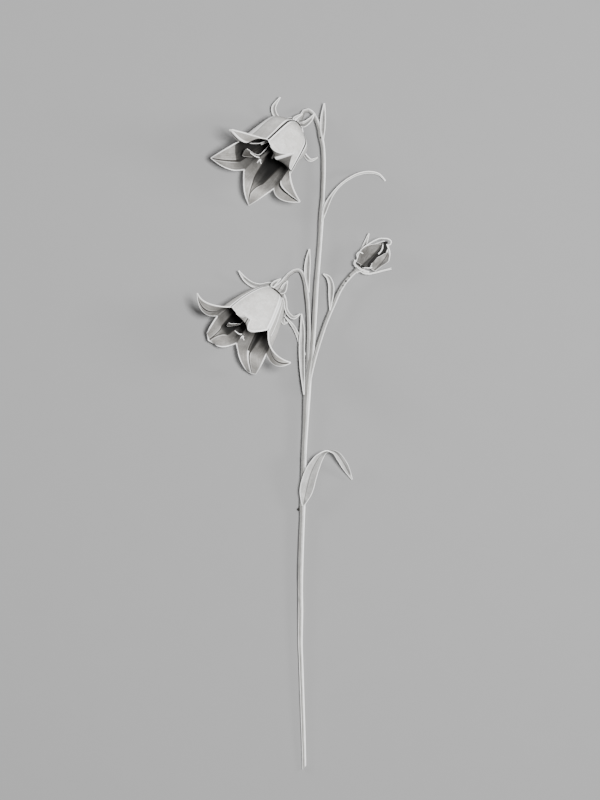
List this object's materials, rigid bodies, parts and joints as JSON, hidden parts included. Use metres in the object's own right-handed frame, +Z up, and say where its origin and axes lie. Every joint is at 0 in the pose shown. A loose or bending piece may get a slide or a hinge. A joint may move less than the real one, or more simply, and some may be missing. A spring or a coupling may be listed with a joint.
{
  "type": "campanula flower stem",
  "caption": "Cut bellflower stem lying on its side, with two open bells, a closed bud and narrow leaves.",
  "frame": {"origin": "on the surface that the stem lies on, under the middle of the whole stem", "axes": "+Y runs up the stem from its cut end to its tip, +X to the side that the bud is on, +Z up from the surface"},
  "size_m": [0.1068, 0.3697, 0.0452],
  "materials": {
    "petal": "matte pale bone white, thin and crisp like a dried petal",
    "leaf": "matte pale grey, finely grained",
    "stem": "matte pale grey with lengthwise ribs",
    "stigma": "matte near white"
  },
  "bodies": {
    "root": {"stem": "stem", "upper_corolla": "petal", "lower_corolla": "petal", "bud_corolla": "petal", "upper_stamens": "petal", "lower_stamens": "petal", "upper_pistil": "stigma", "lower_pistil": "stigma", "upper_calyx": "leaf", "lower_calyx": "leaf", "bud_calyx": "leaf", "big_leaf": "leaf", "arching_leaf": "leaf", "top_bract": "leaf", "lower_bract": "leaf", "bud_branch_leaf": "leaf", "side_leaf": "leaf", "narrow_leaf": "leaf"}
  },
  "joints": []
}
